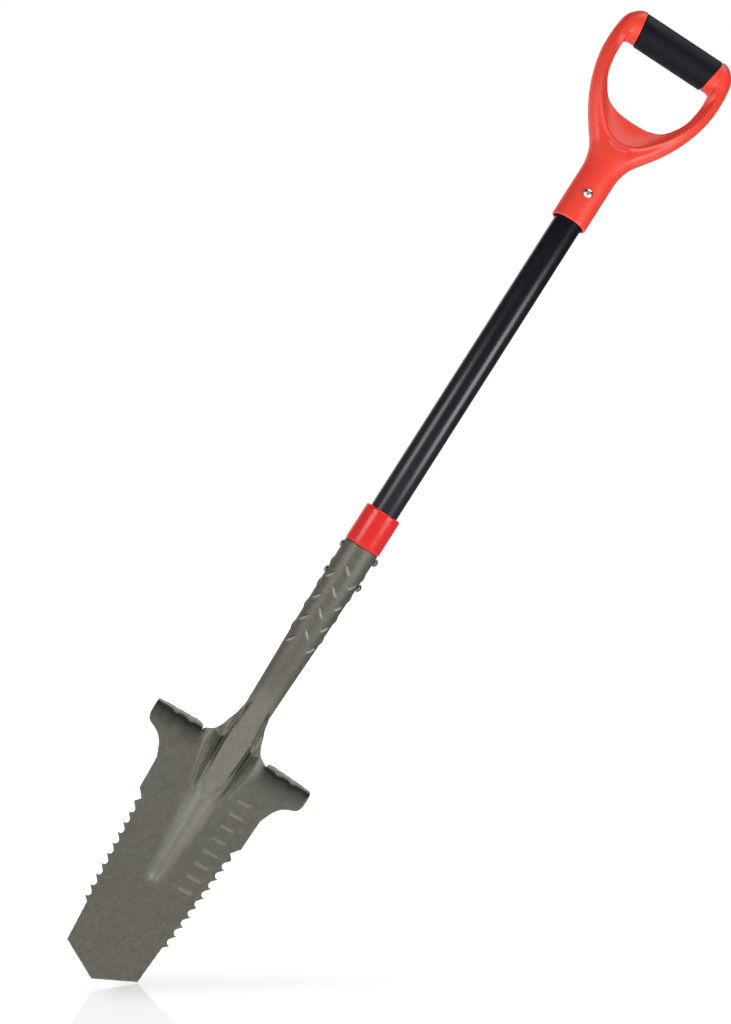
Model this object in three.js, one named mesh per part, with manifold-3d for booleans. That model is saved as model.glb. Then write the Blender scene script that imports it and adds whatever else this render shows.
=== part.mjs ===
// Detecting shovel: a narrow saw-edged steel blade with two foot steps, riveted through its tapered
// socket to a straight tubular shaft that ends in a D-shaped handle with a rubber hand grip.
//
// Millimetres, +Z up the shaft towards the hand grip. The shovel's front is -Y, the side that the
// blade tip leans to, and +X is to its right seen from the front. Heights are written from the blade
// tip and the whole tool is then hung from the middle of its hand grip, which is the origin.

import * as THREE from "three";
import { mergeVertices } from "three/addons/utils/BufferGeometryUtils.js";
import Module from "manifold-3d";

const wasm = await Module();
wasm.setup();

// ---- Driving dimensions -------------------------------------------------------------------------

const GAP = 0.3; // clearance between pieces that touch
const SHEET = 2.3; // blade steel
const ROUND = 36; // facets round a tube

// Heights above the blade tip
const BEND_Z = 263; // where the blade plane leaves the shaft line
const SHAFT_START_Z = 381;
const RIVET_Z = [424.3, 452.6];
const SOCKET_TOP_Z = 459;
const COLLAR_TOP_Z = 497.8;
const NECK_Z = 821.4; // mouth of the D handle
const SCREW_Z = 850;
const SHAFT_END_Z = 900;
const GRIP_Z = 1011;

const BLADE_LEAN = THREE.MathUtils.degToRad(12);

// The blade, measured down its own plane from the bend
const FOLD_U = 25.5; // top faces of the foot steps
const FOLD_RADIUS = 4.5;
const STEP_INNER_X = 34.6;
const STEP_OUTER_X = 84.9;
const STEP_DEPTH = 21.5;
const STEP_TILT = THREE.MathUtils.degToRad(8); // the steps stand level, so they rise from square
const TOOTH_COUNT = 10;
const TOOTH_FIRST = { x: 53.5, u: 116.7 };
const TOOTH_LAST = { x: 45.9, u: 209.4 };
const TOOTH_DEPTH = 4.6;
const TIP_CORNER = { x: 37.7, u: 250.6 };
const TIP_U = 268.8;

// The pressed rib that carries the socket down the back of the blade
const RIB_RADIUS = 13.5;
const RIB_END_U = 176;
const RIB_DIVE = THREE.MathUtils.degToRad(3.3); // how the rib's axis sinks to the front
const FLARE_HALF_WIDTH = 23;
const FLARE_PEAK_U = 23;
const FLARE_TOP_U = -34;
const FLARE_END_U = 130;
const FLARE_RISE = 0.42; // height of the flare over its half width
const CHANNEL_SHIFT = 0.4; // the front channels are this much shallower than the flare

const SOCKET_WALL = 2;
const SOCKET_PROFILE = [
  // radius, height
  [9.6, 178],
  [10.9, 205],
  [12.5, 240],
  [13.4, 265],
  [14.55, 312.5],
  [15.5, 343.7],
  [16.3, 375.5],
  [16.9, 412],
  [17.5, 456],
];
const TREAD_COLUMNS = 8;
const TREAD_ROWS = 4;
const TREAD_PITCH = 23.6;
const TREAD_TOP_Z = 434;
const TREAD_BAR = { length: 11, width: 1.7, proud: 0.7 };
const TREAD_TILT = THREE.MathUtils.degToRad(27);

const SHAFT_RADIUS = 14;
const SHAFT_WALL = 2;
const COLLAR_RADIUS = 18.1;
const COLLAR_ROUND = 2.2;

const RIVET = { shank: 2.5, headRadius: 3.9, headRise: 3.6, tailRadius: 3.4, tailRise: 1.9 };
const SCREW = { shank: 2, headRadius: 4.5, headRise: 2.8, length: 17 };

const PLUG_RADIUS = SHAFT_RADIUS - SHAFT_WALL - GAP;
const LOWER_PLUG = [SHAFT_START_Z + 1, 474];
const UPPER_PLUG = [832, SHAFT_END_Z - 1];

// The D handle, seen from the front
const NECK_RADIUS = 17.8;
const LIMB_DEPTH = 28;
const LIMB_BEVEL = 5;
const CORE_RADIUS = 10.5; // bar inside the hand grip
const GRIP_RADIUS = 15.9;
const GRIP_TOP_HALF = 42.4;
const GRIP_BOTTOM_HALF = 37.4;

// ---- Solids -------------------------------------------------------------------------------------

function toManifold(geometry, matrix) {
  const bare = geometry.index ? geometry.toNonIndexed() : geometry.clone();
  bare.deleteAttribute("normal");
  bare.deleteAttribute("uv");
  if (matrix) bare.applyMatrix4(matrix);
  const merged = mergeVertices(bare, 1e-4);
  return new wasm.Manifold(
    new wasm.Mesh({
      numProp: 3,
      vertProperties: new Float32Array(merged.attributes.position.array),
      triVerts: new Uint32Array(merged.index.array),
    }),
  );
}

function toGeometry(solid) {
  const mesh = solid.getMesh();
  const geometry = new THREE.BufferGeometry();
  geometry.setAttribute("position", new THREE.BufferAttribute(mesh.vertProperties, 3));
  geometry.setIndex(new THREE.BufferAttribute(mesh.triVerts, 1));
  geometry.computeVertexNormals();
  return geometry;
}

function basis(xAxis, yAxis, zAxis, origin) {
  const matrix = new THREE.Matrix4().makeBasis(xAxis, yAxis, zAxis);
  return matrix.setPosition(origin ?? new THREE.Vector3());
}

const X = new THREE.Vector3(1, 0, 0);
const Y = new THREE.Vector3(0, 1, 0);
const Z = new THREE.Vector3(0, 0, 1);

// A body of revolution. Its profile of [radius, height] points closes on the axis or on itself.
const upright = basis(X, Z, Y.clone().negate());
function lathe(profile, matrix = upright, segments = ROUND) {
  const points = profile.map(([radius, height]) => new THREE.Vector2(radius, height));
  return toManifold(new THREE.LatheGeometry(points, segments), matrix);
}

function rod(radius, from, to, matrix = upright, segments = ROUND) {
  return lathe([[0, from], [radius, from], [radius, to], [0, to]], matrix, segments);
}

function box(low, high, matrix) {
  const size = high.clone().sub(low);
  const centre = low.clone().add(high).multiplyScalar(0.5);
  const geometry = new THREE.BoxGeometry(size.x, size.y, size.z);
  geometry.translate(centre.x, centre.y, centre.z);
  return toManifold(geometry, matrix);
}

// Places a lathe's axis along X, or from the front to the back
const alongX = (z) => basis(Y.clone().negate(), X, Z, new THREE.Vector3(0, 0, z));
const alongY = (z) => basis(X, Y, Z, new THREE.Vector3(0, 0, z));

// Blade coordinates: x across, u down the blade from the bend, w from the front face to the back
const down = new THREE.Vector3(0, -Math.sin(BLADE_LEAN), -Math.cos(BLADE_LEAN));
const back = new THREE.Vector3(0, Math.cos(BLADE_LEAN), -Math.sin(BLADE_LEAN));
const bladeFrame = basis(X, down, back, new THREE.Vector3(0, 0, BEND_Z));
const inBlade = (matrix) => bladeFrame.clone().multiply(matrix);

// ---- Blade and socket ---------------------------------------------------------------------------

// Right half of the outline from the web beside the socket down to the tip. A tooth is a straight
// flank cut back from its point, then a round gullet that runs out to the next point.
function halfOutline() {
  const points = [
    [12, -6],
    [13.9, -0.8],
    [16.6, 3.2],
    [18.8, 7.2],
    [20.4, 12],
    [22.6, 17.4],
    [26, 24],
    [29, 27.4],
    [32, 28.8],
    [STEP_INNER_X, FOLD_U + FOLD_RADIUS],
    [STEP_OUTER_X, FOLD_U + FOLD_RADIUS],
    [84.7, 38],
    [84, 42.1],
    [82.1, 46.2],
    [79, 48.4],
    [75, 50],
    [70.2, 52.4],
    [66, 56],
    [62.6, 60.6],
    [60, 66],
    [58.1, 70.5],
    [57, 75.1],
    [55.5, 104],
    [TOOTH_FIRST.x - TOOTH_DEPTH, TOOTH_FIRST.u - 5.2],
  ];
  const pitch = (TOOTH_LAST.u - TOOTH_FIRST.u) / (TOOTH_COUNT - 1);
  const inset = (TOOTH_FIRST.x - TOOTH_LAST.x) / (TOOTH_COUNT - 1);
  const gullet = 0.3 * pitch;
  for (let i = 0; i < TOOTH_COUNT; i += 1) {
    const x = TOOTH_FIRST.x - i * inset;
    const u = TOOTH_FIRST.u + i * pitch;
    const centreX = x - TOOTH_DEPTH + gullet;
    const centreU = u - gullet;
    for (const turn of [140, 175, 210, 245]) {
      const angle = THREE.MathUtils.degToRad(turn);
      if (i > 0) points.push([centreX + gullet * Math.cos(angle), centreU - gullet * Math.sin(angle)]);
    }
    points.push([x, u]);
  }
  points.push([TOOTH_LAST.x - TOOTH_DEPTH - 0.7, TOOTH_LAST.u + 4.8]);
  points.push([TIP_CORNER.x, TIP_CORNER.u]);
  return points;
}

function plate() {
  const right = halfOutline();
  const left = right.map(([x, u]) => [-x, u]).reverse();
  const outline = [...right, [0, TIP_U], ...left].map(([x, u]) => new THREE.Vector2(x, u));
  const geometry = new THREE.ExtrudeGeometry(new THREE.Shape(outline), {
    depth: SHEET,
    bevelEnabled: false,
  });
  return toManifold(geometry, bladeFrame);
}

// A foot step: the top of the blade turned back until it is level
function step(side) {
  const foldStart = FOLD_U + FOLD_RADIUS;
  const inner = FOLD_RADIUS - SHEET;
  const turn = -Math.PI + STEP_TILT;
  const at = (radius) => ({
    u: foldStart + radius * Math.cos(turn),
    w: FOLD_RADIUS + radius * Math.sin(turn),
  });
  const end = (radius) => at(radius).u - (STEP_DEPTH - at(radius).w) * Math.tan(STEP_TILT);
  const profile = new THREE.Shape();
  profile.moveTo(foldStart + 0.5, 0);
  profile.absarc(foldStart, FOLD_RADIUS, FOLD_RADIUS, -Math.PI / 2, turn, true);
  profile.lineTo(end(FOLD_RADIUS), STEP_DEPTH);
  profile.lineTo(end(inner), STEP_DEPTH);
  profile.absarc(foldStart, FOLD_RADIUS, inner, turn, -Math.PI / 2, false);
  profile.lineTo(foldStart + 0.5, SHEET);
  const geometry = new THREE.ExtrudeGeometry(profile, {
    depth: STEP_OUTER_X - STEP_INNER_X,
    bevelEnabled: false,
    curveSegments: 6,
  });
  const start = side > 0 ? STEP_INNER_X : -STEP_OUTER_X;
  return toManifold(geometry, inBlade(basis(Y, Z, X, new THREE.Vector3(start, 0, 0))));
}

// The rib is a round-ended bar whose axis starts on the shaft line and sinks to the blade's front.
// Its top end is a ball, on which the socket's back wall turns, and its lower end is drawn out.
function ribBar(radius) {
  const endLength = 1.6 * radius;
  const profile = [[0, -radius]];
  for (const turn of [75, 60, 45, 30, 15, 0]) {
    const angle = THREE.MathUtils.degToRad(turn);
    profile.push([radius * Math.cos(angle), -radius * Math.sin(angle)]);
  }
  for (const turn of [0, 25, 50, 72]) {
    const angle = THREE.MathUtils.degToRad(turn);
    profile.push([radius * Math.cos(angle), RIB_END_U - endLength * (1 - Math.sin(angle))]);
  }
  profile.push([0, RIB_END_U]);
  const axis = new THREE.Vector3(0, Math.cos(RIB_DIVE), -Math.sin(RIB_DIVE));
  const rise = new THREE.Vector3(0, Math.sin(RIB_DIVE), Math.cos(RIB_DIVE));
  return lathe(profile, inBlade(basis(X, axis, rise)), ROUND);
}

// The flare is a four-sided spindle: its corners are the folds beside the rib and the rib's crest.
// On the front it is a pair of V channels beside the socket, whose top ends are square.
function flareBar(lift, topU) {
  const profile = [[0, topU], [FLARE_HALF_WIDTH, FLARE_PEAK_U], [0, FLARE_END_U]];
  const matrix = basis(X, Y, Z.clone().multiplyScalar(FLARE_RISE), new THREE.Vector3(0, 0, lift));
  return lathe(profile, inBlade(matrix), 4);
}

function socketOuter() {
  const top = [SOCKET_PROFILE.at(-1)[0], SOCKET_TOP_Z];
  return lathe([[0, SOCKET_PROFILE[0][1]], ...SOCKET_PROFILE, top, [0, SOCKET_TOP_Z]]);
}

function socketBore() {
  const profile = SOCKET_PROFILE.map(([radius, z]) => [radius - SOCKET_WALL, z]);
  const start = [0, SOCKET_PROFILE[0][1] - 1];
  const top = SOCKET_TOP_Z + 2;
  return lathe([start, ...profile, [profile.at(-1)[0], top], [0, top]]);
}

function socketRadius(z) {
  const i = SOCKET_PROFILE.findIndex(([, height]) => height >= z);
  const [r0, z0] = SOCKET_PROFILE[i - 1];
  const [r1, z1] = SOCKET_PROFILE[i];
  return r0 + ((z - z0) / (z1 - z0)) * (r1 - r0);
}

// Short slanted bars round the socket, leaning the other way in every second column
function treadBars() {
  const bars = [];
  for (let column = 0; column < TREAD_COLUMNS; column += 1) {
    const even = column % 2 === 0;
    const turn = (column / TREAD_COLUMNS) * 2 * Math.PI;
    for (let row = 0; row < TREAD_ROWS; row += 1) {
      const z = TREAD_TOP_Z - (row + (even ? 0 : 0.5)) * TREAD_PITCH;
      const outer = socketRadius(z) + TREAD_BAR.proud;
      const bar = box(
        new THREE.Vector3(-TREAD_BAR.width / 2, -outer, -TREAD_BAR.length / 2),
        new THREE.Vector3(TREAD_BAR.width / 2, 1.2 - outer, TREAD_BAR.length / 2),
        new THREE.Matrix4()
          .makeTranslation(0, 0, z)
          .multiply(new THREE.Matrix4().makeRotationZ(turn))
          .multiply(new THREE.Matrix4().makeRotationY(even ? -TREAD_TILT : TREAD_TILT)),
      );
      bars.push(bar);
    }
  }
  return bars;
}

function bladeAndSocket() {
  const reach = 400;
  const aboveBend = box(
    new THREE.Vector3(-reach, -reach, BEND_Z),
    new THREE.Vector3(reach, reach, BEND_Z + reach),
  );
  const behindFace = box(
    new THREE.Vector3(-reach, -reach, SHEET / 2),
    new THREE.Vector3(reach, reach, reach),
    bladeFrame,
  );
  const rib = ribBar(RIB_RADIUS);
  const ribHollow = ribBar(RIB_RADIUS - SHEET);
  const pressedSheet = plate()
    .add(step(-1))
    .add(step(1))
    .add(rib.add(flareBar(SHEET, FLARE_TOP_U)).intersect(behindFace))
    .subtract(ribHollow)
    .subtract(flareBar(-CHANNEL_SHIFT, FLARE_PEAK_U));
  const tube = socketOuter().intersect(rib.add(aboveBend));
  const hollow = socketBore().intersect(ribHollow.add(aboveBend));
  let solid = pressedSheet.add(tube).subtract(hollow);
  for (const bar of treadBars()) solid = solid.add(bar);
  for (const z of RIVET_Z) solid = solid.subtract(rod(RIVET.shank + GAP, -30, 30, alongX(z), 16));
  return solid;
}

// ---- Shaft, collar and fixings ------------------------------------------------------------------

function shaftTube() {
  const inner = SHAFT_RADIUS - SHAFT_WALL;
  let tube = rod(SHAFT_RADIUS, SHAFT_START_Z, SHAFT_END_Z);
  tube = tube.subtract(rod(inner, SHAFT_START_Z - 5, SHAFT_END_Z + 5));
  for (const z of RIVET_Z) tube = tube.subtract(rod(RIVET.shank + GAP, -30, 30, alongX(z), 16));
  return tube.subtract(rod(SCREW.shank + GAP, -30, 0, alongY(SCREW_Z), 16));
}

function lowerPlug() {
  let plug = rod(PLUG_RADIUS, LOWER_PLUG[0], LOWER_PLUG[1]);
  for (const z of RIVET_Z) plug = plug.subtract(rod(RIVET.shank + GAP, -30, 30, alongX(z), 16));
  return plug;
}

function upperPlug() {
  const plug = rod(PLUG_RADIUS, UPPER_PLUG[0], UPPER_PLUG[1]);
  return plug.subtract(rod(SCREW.shank + GAP, -30, 2, alongY(SCREW_Z), 16));
}

function collar() {
  const low = SOCKET_TOP_Z + GAP;
  const bore = SHAFT_RADIUS + GAP;
  const inset = COLLAR_RADIUS - COLLAR_ROUND;
  const profile = [[bore, low], [COLLAR_RADIUS - 0.8, low]];
  profile.push([COLLAR_RADIUS, low + 0.8]);
  for (const turn of [0, 30, 60, 90]) {
    const angle = THREE.MathUtils.degToRad(turn);
    profile.push([
      inset + COLLAR_ROUND * Math.cos(angle),
      COLLAR_TOP_Z - COLLAR_ROUND + COLLAR_ROUND * Math.sin(angle),
    ]);
  }
  profile.push([bore, COLLAR_TOP_Z], [bore, low]);
  return lathe(profile);
}

// A domed head: rises from a flat seat at the given height
function dome(radius, seat, rise, steps = 4) {
  const points = [];
  for (let i = 0; i <= steps; i += 1) {
    const angle = (i / steps) * (Math.PI / 2);
    points.push([radius * Math.cos(angle), seat + rise * Math.sin(angle)]);
  }
  points[points.length - 1][0] = 0;
  return points;
}

// A rivet lies along X: factory head on the right, hammered tail on the left
function rivet(z) {
  const seat = socketRadius(z) + GAP;
  const head = dome(RIVET.headRadius, seat, RIVET.headRise);
  const tail = dome(RIVET.tailRadius, seat, RIVET.tailRise).map(([r, h]) => [r, -h]).reverse();
  const profile = [...tail, [RIVET.shank, -seat], [RIVET.shank, seat], ...head];
  return lathe(profile, alongX(z), 16);
}

function screw() {
  const seat = NECK_RADIUS + GAP;
  const tip = seat - SCREW.length;
  const frontward = basis(X.clone().negate(), Y.clone().negate(), Z, new THREE.Vector3(0, 0, SCREW_Z));
  const shank = [[0, tip], [SCREW.shank, tip + 2], [SCREW.shank, seat]];
  return lathe([...shank, ...dome(SCREW.headRadius, seat, SCREW.headRise)], frontward, 20);
}

// ---- D handle -----------------------------------------------------------------------------------

// The front view: a U whose limbs stop at the slanted ends of the grip
function handleOutline() {
  const outer = [
    [17.2, 872],
    [17.9, 878],
    [19.8, 888],
    [24.1, 897],
    [31.4, 907],
    [41.6, 921.7],
    [50.3, 937.7],
    [56.1, 952.2],
    [60.5, 968.2],
    [62.4, 984],
    [62, 1001.6],
    [59, 1013.3],
    [53.5, 1019.9],
    [48.6, 1023.7],
  ];
  const inner = [
    [47.7, 981],
    [46.8, 973],
    [44.6, 962.4],
    [39.2, 950.8],
    [30, 939.5],
    [18.3, 934.2],
    [0, 932.8],
  ];
  const slope = (GRIP_TOP_HALF - GRIP_BOTTOM_HALF) / (2 * GRIP_RADIUS);
  const gripEnd = (z) => GRIP_TOP_HALF + GAP + slope * (z - GRIP_Z - GRIP_RADIUS);
  const top = [[gripEnd(1025.6), 1025.6], [gripEnd(995.4), 995.4]];
  const shoulder = [[42.6, 993], [46.4, 988.6]];
  return [...outer, ...top, ...shoulder, ...inner];
}

function handleCore() {
  return rod(CORE_RADIUS, -52, 52, alongX(GRIP_Z), 24);
}

function dHandle() {
  const right = handleOutline();
  const left = right.slice(0, -1).map(([x, z]) => [-x, z]).reverse();
  const outline = [...right, ...left].map(([x, z]) => new THREE.Vector2(x, z));
  const geometry = new THREE.ExtrudeGeometry(new THREE.Shape(outline), {
    depth: LIMB_DEPTH - 2 * LIMB_BEVEL,
    bevelThickness: LIMB_BEVEL,
    bevelSize: LIMB_BEVEL,
    bevelOffset: -LIMB_BEVEL,
    bevelSegments: 3,
  });
  geometry.translate(0, 0, LIMB_BEVEL - LIMB_DEPTH / 2);
  const frame = toManifold(geometry, basis(X, Z, Y.clone().negate()));
  const neck = lathe([
    [0, NECK_Z],
    [16.6, NECK_Z],
    [NECK_RADIUS, NECK_Z + 1.5],
    [NECK_RADIUS, 884],
    [16.6, 900],
    [14.6, 914],
    [12, 922],
    [0, 922],
  ]);
  const bore = lathe([
    [0, NECK_Z - 2],
    [15.6, NECK_Z - 2],
    [15.6, NECK_Z + 1],
    [SHAFT_RADIUS + GAP, NECK_Z + 6],
    [SHAFT_RADIUS + GAP, SHAFT_END_Z + 1],
    [0, SHAFT_END_Z + 1],
  ]);
  return frame
    .add(neck)
    .add(handleCore())
    .subtract(bore)
    .subtract(rod(SCREW.shank + GAP, -30, 0, alongY(SCREW_Z), 16));
}

function gripSleeve() {
  const half = GRIP_RADIUS;
  const front = new THREE.Shape([
    new THREE.Vector2(-GRIP_BOTTOM_HALF, GRIP_Z - half),
    new THREE.Vector2(GRIP_BOTTOM_HALF, GRIP_Z - half),
    new THREE.Vector2(GRIP_TOP_HALF, GRIP_Z + half),
    new THREE.Vector2(-GRIP_TOP_HALF, GRIP_Z + half),
  ]);
  const geometry = new THREE.ExtrudeGeometry(front, { depth: 60, bevelEnabled: false });
  geometry.translate(0, 0, -30);
  const wedge = toManifold(geometry, basis(X, Z, Y.clone().negate()));
  return rod(GRIP_RADIUS, -60, 60, alongX(GRIP_Z))
    .subtract(rod(CORE_RADIUS + GAP, -70, 70, alongX(GRIP_Z), 24))
    .intersect(wedge);
}

// ---- Assembly -----------------------------------------------------------------------------------

const finish = (color, roughness, metalness) =>
  new THREE.MeshStandardMaterial({ color, roughness, metalness });
const finishes = {
  blade: finish(0x6b675d, 0.5, 0.6),
  shaft: finish(0x20242a, 0.35, 0.1),
  redPlastic: finish(0xee4637, 0.4, 0),
  rubber: finish(0x1c1c26, 0.6, 0),
  bright: finish(0xc8c8c8, 0.25, 1),
  plug: finish(0x55585a, 0.7, 0),
};

const shovel = new THREE.Group();
function piece(name, solid, material) {
  const mesh = new THREE.Mesh(toGeometry(solid), material);
  mesh.name = name;
  mesh.position.z = -GRIP_Z;
  shovel.add(mesh);
}

piece("blade_and_socket", bladeAndSocket(), finishes.blade);
piece("shaft_tube", shaftTube(), finishes.shaft);
piece("shaft_lower_plug", lowerPlug(), finishes.plug);
piece("shaft_upper_plug", upperPlug(), finishes.plug);
piece("socket_collar", collar(), finishes.redPlastic);
piece("rivet_lower", rivet(RIVET_Z[0]), finishes.bright);
piece("rivet_upper", rivet(RIVET_Z[1]), finishes.bright);
piece("d_handle", dHandle(), finishes.redPlastic);
piece("grip_sleeve", gripSleeve(), finishes.rubber);
piece("handle_screw", screw(), finishes.bright);

export default shovel;
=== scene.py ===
"""Detecting shovel: the visual model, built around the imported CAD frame.

Sizes in this script are millimetres and become metres as each mesh is made. Heights z run up the
shaft from the level of the blade's tip. The middle of the hand grip, at GRIP_Z, is the row frame's
origin, and the front is -Y. The blade has its own frame, which leans by LEAN: x to the right, u down
the blade from BEND_Z, and w towards the back from the front of the sheet.
"""

import math

import bmesh
import bpy
import numpy as np
import openvdb
from mathutils import Matrix, Vector


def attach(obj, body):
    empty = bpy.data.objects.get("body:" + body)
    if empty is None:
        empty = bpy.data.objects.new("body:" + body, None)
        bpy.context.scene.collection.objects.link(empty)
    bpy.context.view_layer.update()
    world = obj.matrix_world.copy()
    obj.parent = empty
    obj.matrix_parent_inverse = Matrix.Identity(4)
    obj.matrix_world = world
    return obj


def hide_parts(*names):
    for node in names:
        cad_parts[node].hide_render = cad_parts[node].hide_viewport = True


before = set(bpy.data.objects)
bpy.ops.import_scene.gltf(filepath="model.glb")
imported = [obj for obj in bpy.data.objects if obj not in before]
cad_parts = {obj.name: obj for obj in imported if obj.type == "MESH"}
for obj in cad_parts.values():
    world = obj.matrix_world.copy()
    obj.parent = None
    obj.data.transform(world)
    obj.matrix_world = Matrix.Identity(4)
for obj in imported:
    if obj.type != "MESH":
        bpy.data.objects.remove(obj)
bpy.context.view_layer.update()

# ---- Dimensions ---------------------------------------------------------------------------------

GRIP_Z = 1011.0
BEND_Z = 263.0
LEAN = math.radians(12)
SIN_LEAN, COS_LEAN = math.sin(LEAN), math.cos(LEAN)

SHEET = 2.3
BEVEL_FROM_U = 104  # the edge is ground from the back below this
STEP_INNER_X, STEP_OUTER_X, STEP_DEPTH = 34.6, 84.9, 21.5
STEP_TOP_U = 25.5
STEP_BEND = 3.35  # middle of the sheet
STEP_TILT = math.radians(8)
STEP_DROOP = 0.039
GUSSET_X, GUSSET_HALF, GUSSET_RISE = (48.7, 64.3), 6.5, 3.2
TREAD_LINES_W = (9.5, 16.2)
TOOTH_COUNT, TOOTH_DEPTH = 10, 4.6
TOOTH_FIRST, TOOTH_LAST = (53.5, 116.7), (45.9, 209.4)
TIP_CORNER, TIP_U = (37.7, 250.6), 268.8
GROOVE_END_U = 162  # centre of the groove's round end
RIB_ROUND_U, RIB_ROUND = 160, 19  # where the rib's crest starts to round off, and how long it takes
SCALE_BARS, SCALE_PITCH, SCALE_FIRST_U = 8, 13.5, 67
SCALE_X, SCALE_TAPER, SCALE_HALF = 42.6, 0.047, 6.85  # outer ends of the bars, and half a bar

SOCKET_TOP_Z, SHAFT_START_Z, SHAFT_END_Z = 459.0, 381.0, 900.0
SOCKET_Z = [178, 205, 240, 265, 312.5, 343.7, 375.5, 412, 456, 470]
SOCKET_R = [9.6, 10.9, 12.5, 13.4, 14.55, 15.5, 16.3, 16.9, 17.5, 17.7]
SOCKET_WALL, SOCKET_FLOOR_Z = 2.0, 377.0
TREAD_COLUMNS, TREAD_ROWS = 8, 4
TREAD_TOP_Z, TREAD_PITCH, TREAD_TILT = 434.0, 23.6, math.radians(43)
TREAD_HALF_LENGTH, TREAD_PROUD = 6.2, 1.1
RIVET_Z, RIVET_R = (424.3, 452.6), 2.5
RIVET_HEAD_R, RIVET_TAIL_R = 3.9, 3.4
PLUGS = (("shaft_lower_plug", SHAFT_START_Z + 1, 474), ("shaft_upper_plug", 832, SHAFT_END_Z - 1))
COLLAR_TOP_Z, COLLAR_R = 497.8, 18.1
SHAFT_R, SHAFT_WALL = 14.0, 2.0
PLUG_R, PLUG_BEVEL = 11.7, 0.8
NECK_Z, NECK_R, SCREW_Z = 821.4, 17.8, 850.0
GRIP_R, GRIP_TOP_HALF, GRIP_BOTTOM_HALF = 15.9, 42.4, 37.4
CORE_R, CAP_R = 10.5, 15.1  # the bar inside the grip, and the limbs' round tops
GAP = 0.3  # between pieces that touch
UPRIGHT = np.eye(3), np.array([0, 0, -GRIP_Z])  # from heights up the shaft into the row frame
SCREW_HEAD_R, SCREW_HEAD_RISE = 4.5, 2.8

COARSE = 1.0

# ---- Fields: negative inside, in millimetres ----------------------------------------------------


def merge(a, b, k):
    """Union with a fillet about k wide."""
    h = np.clip(0.5 + 0.5 * (b - a) / k, 0, 1)
    return b * (1 - h) + a * h - k * h * (1 - h)


def common(a, b, k):
    """Intersection with the same soft edge."""
    return -merge(-a, -b, k)


def common_round(a, b, r):
    """Intersection with a round edge of radius r."""
    return np.minimum(-r, np.maximum(a, b)) + np.hypot(np.maximum(a + r, 0), np.maximum(b + r, 0))


def ease(x, start, end):
    """A smooth step from 0 at start to 1 at end."""
    t = np.clip((x - start) / (end - start), 0, 1)
    return t * t * (3 - 2 * t)


def polygon_distance(x, y, points):
    """Signed distance from each (x, y) to a closed outline."""
    nearest = np.full(x.shape, 1e9, np.float32)
    inside = np.zeros(x.shape, bool)
    for (x0, y0), (x1, y1) in zip(points, points[1:] + points[:1]):
        ex, ey = x1 - x0, y1 - y0
        t = np.clip(((x - x0) * ex + (y - y0) * ey) / (ex * ex + ey * ey), 0, 1)
        nearest = np.minimum(nearest, (x - x0 - t * ex) ** 2 + (y - y0 - t * ey) ** 2)
        if ey:
            inside ^= ((y0 > y) != (y1 > y)) & (x < x0 + (y - y0) * ex / ey)
    return np.where(inside, -1, 1) * np.sqrt(nearest)


def spline(points, count=6):
    """A smooth curve through the points."""
    p = [np.array(q, float) for q in points]
    p = [2 * p[0] - p[1], *p, 2 * p[-1] - p[-2]]
    out = []
    for a, b, c, d in zip(p, p[1:], p[2:], p[3:]):
        for i in range(count):
            t = i / count
            q = 2 * b + (c - a) * t + (2 * a - 5 * b + 4 * c - d) * t * t + (3 * b - a - 3 * c + d) * t**3
            out.append(tuple(0.5 * q))
    return [*out, tuple(p[-2])]


class Field:
    """Distances on a dense grid between two corners."""

    def __init__(self, low, high, step, fill=0.0):
        self.low, self.step = np.array(low), step
        count = np.ceil((np.array(high) - self.low) / step).astype(int) + 1
        self.axes = [np.float32(self.low[i] + step * np.arange(count[i])) for i in range(3)]
        self.values = np.full(count, fill, np.float32)

    def part(self, *bounds):
        """The slices of a box, given as (low, high) on each axis."""
        return tuple(slice(*np.searchsorted(axis, ends)) for axis, ends in zip(self.axes, bounds))

    def coordinates(self, part=(slice(None),) * 3):
        """Three arrays that broadcast over a part of the grid."""
        axes = (axis[cut] for axis, cut in zip(self.axes, part))
        return np.meshgrid(*axes, indexing="ij", sparse=True)

    def sample(self, at):
        """The distance at fractional grid positions."""
        cell = np.clip(np.floor(at).astype(int), 0, np.array(self.values.shape) - 2)
        t = at - cell
        total = 0
        for corner in np.ndindex(2, 2, 2):
            weight = np.prod(np.where(np.array(corner) == 1, t, 1 - t), axis=1)
            i, j, k = (cell + corner).T
            total = total + weight * self.values[i, j, k]
        return total


def mesh_from(name, points, faces, normals=None):
    """An object from points in millimetres in the row frame."""
    mesh = bpy.data.meshes.new(name)
    mesh.from_pydata((np.asarray(points) * 0.001).tolist(), [], faces)
    mesh.shade_smooth()
    if normals is not None:
        mesh.normals_split_custom_set_from_vertices(normals.tolist())
    made = bpy.data.objects.new(name, mesh)
    bpy.context.scene.collection.objects.link(made)
    return made


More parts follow.
